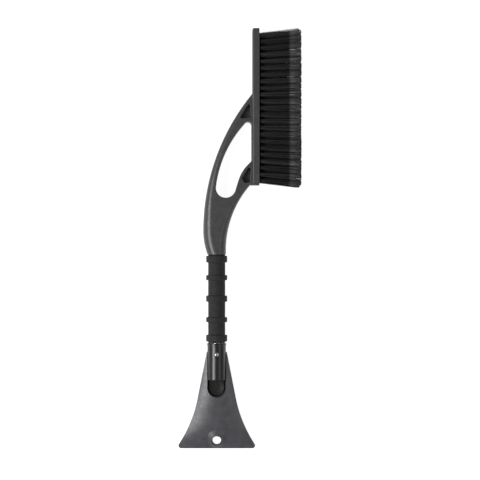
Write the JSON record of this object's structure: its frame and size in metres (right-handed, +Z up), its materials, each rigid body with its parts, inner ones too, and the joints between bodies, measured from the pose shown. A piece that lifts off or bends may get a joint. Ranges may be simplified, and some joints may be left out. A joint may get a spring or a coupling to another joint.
{
  "type": "windshield ice scraper with snow brush",
  "caption": "Long-handled car tool with a flared ice-scraper blade, ribbed foam grip, curved open arm and side-facing snow brush.",
  "frame": {"origin": "centre of the hanging hole, in the plane of the flat back that the tool lies on", "axes": "+Z up out of the flat back, +Y along the tool from the blade to the brush, +X the way the bristles point"},
  "size_m": [0.1615, 0.5504, 0.034],
  "materials": {
    "blade_plastic": "satin",
    "arm_plastic": "satin",
    "block_plastic": "satin",
    "sleeve_plastic": "gloss",
    "grip_foam": "matte",
    "bristle": "satin",
    "tube_aluminium": "satin",
    "button_steel": "polished",
    "screw_steel": "satin"
  },
  "bodies": {
    "tool": {"scraper_head": "blade_plastic", "socket_sleeve": "sleeve_plastic", "sleeve_screw": "screw_steel", "handle_tube": "tube_aluminium", "snap_spring": "screw_steel", "foam_grip": "grip_foam", "swan_neck_arm": "arm_plastic", "neck_screw": "screw_steel", "brush_block": "block_plastic", "block_screws": "screw_steel", "tuft_anchors": "screw_steel", "bristle_row_1": "bristle", "bristle_row_2": "bristle", "bristle_row_3": "bristle", "bristle_row_4": "bristle"},
    "button": {"snap_button": "button_steel"}
  },
  "joints": [
    {"name": "button_press", "type": "slide", "parent": "tool", "child": "button", "axis": [0, 0, -1], "range_m": [0, 0.0042], "stiffness_N_per_m": 2000, "springref_m": -0.0015, "deforming": ["snap_spring"]}
  ]
}
